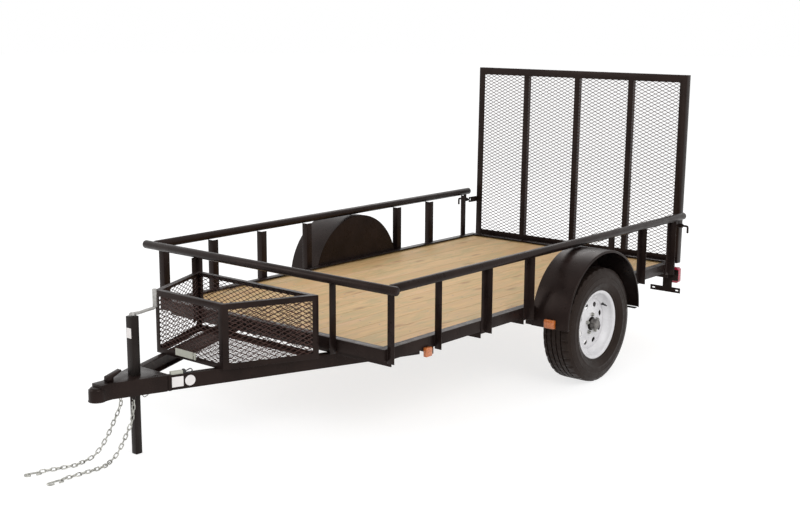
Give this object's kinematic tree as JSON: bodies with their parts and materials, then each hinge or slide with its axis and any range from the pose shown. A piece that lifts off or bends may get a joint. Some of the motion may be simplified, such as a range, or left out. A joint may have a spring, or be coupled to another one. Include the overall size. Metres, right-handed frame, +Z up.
{
  "type": "utility trailer",
  "caption": "Single axle utility trailer with a plank deck, pipe rails on angle posts, a mesh ramp gate that folds down, a mesh basket on the tongue, a ball coupler and a crank jack",
  "frame": {"origin": "on the ground below the middle of the whole trailer, chains included", "axes": "+X forward to the coupler, +Y to the trailer's left, +Z up"},
  "size_m": [4.597, 2.2266, 1.7682],
  "materials": {
    "frame": "gloss",
    "grille": "satin",
    "planks": "sawn",
    "tyre": "matte",
    "rim": "gloss",
    "hub": "satin",
    "jack": "satin",
    "zinc": "zinc plated",
    "red_lens": "gloss",
    "amber_lens": "gloss"
  },
  "bodies": {
    "trailer": {"axle": "frame", "basket_back": "grille", "basket_floor": "grille", "basket_frame": "frame", "basket_front": "grille", "basket_side_left": "grille", "basket_side_right": "grille", "coupler": "frame", "coupler_latch": "frame", "crossmembers": "frame", "deck_planks": "planks", "fender_brackets": "frame", "fender_left": "frame", "fender_right": "frame", "frame_rail_front": "frame", "frame_rail_left": "frame", "frame_rail_rear": "frame", "frame_rail_right": "frame", "gate_latch_left": "frame", "gate_latch_right": "frame", "hinge_sleeves": "frame", "jack_tube": "jack", "lamp_brackets": "frame", "leaf_spring_left": "frame", "leaf_spring_right": "frame", "marker_lamps": "amber_lens", "posts_front": "frame", "posts_left": "frame", "posts_right": "frame", "safety_chain_left": "zinc", "safety_chain_right": "zinc", "spring_hangers": "frame", "tail_lamps": "red_lens", "tongue_beam_left": "frame", "tongue_beam_right": "frame", "top_rail_front": "frame", "top_rail_left": "frame", "top_rail_right": "frame"},
    "wheel_left": {"tyre_left": "tyre", "rim_left": "rim", "hub_left": "hub"},
    "wheel_right": {"tyre_right": "tyre", "rim_right": "rim", "hub_right": "hub"},
    "gate": {"gate_frame": "frame", "gate_hinge_lugs": "frame", "gate_mesh": "grille"},
    "jack_leg": {"jack_leg": "jack"},
    "jack_crank": {"jack_crank": "jack"}
  },
  "joints": [
    {"name": "wheel_left_spin", "type": "hinge", "parent": "trailer", "child": "wheel_left", "pos_m": [-0.86501, 0.9885, 0.344], "axis": [0, 1, 0], "continuous": true},
    {"name": "wheel_right_spin", "type": "hinge", "parent": "trailer", "child": "wheel_right", "pos_m": [-0.86501, -0.9885, 0.344], "axis": [0, 1, 0], "continuous": true},
    {"name": "gate_fold", "type": "hinge", "parent": "trailer", "child": "gate", "pos_m": [-2.25041, 0, 0.466], "axis": [0, -1, 0], "range_deg": [0, 108]},
    {"name": "jack_leg_slide", "type": "slide", "parent": "trailer", "child": "jack_leg", "axis": [0, 0, 1], "range_m": [0, 0.215]},
    {"name": "jack_crank_turn", "type": "hinge", "parent": "trailer", "child": "jack_crank", "pos_m": [1.74099, 0, 0.706], "axis": [0, 0, 1], "continuous": true}
  ]
}
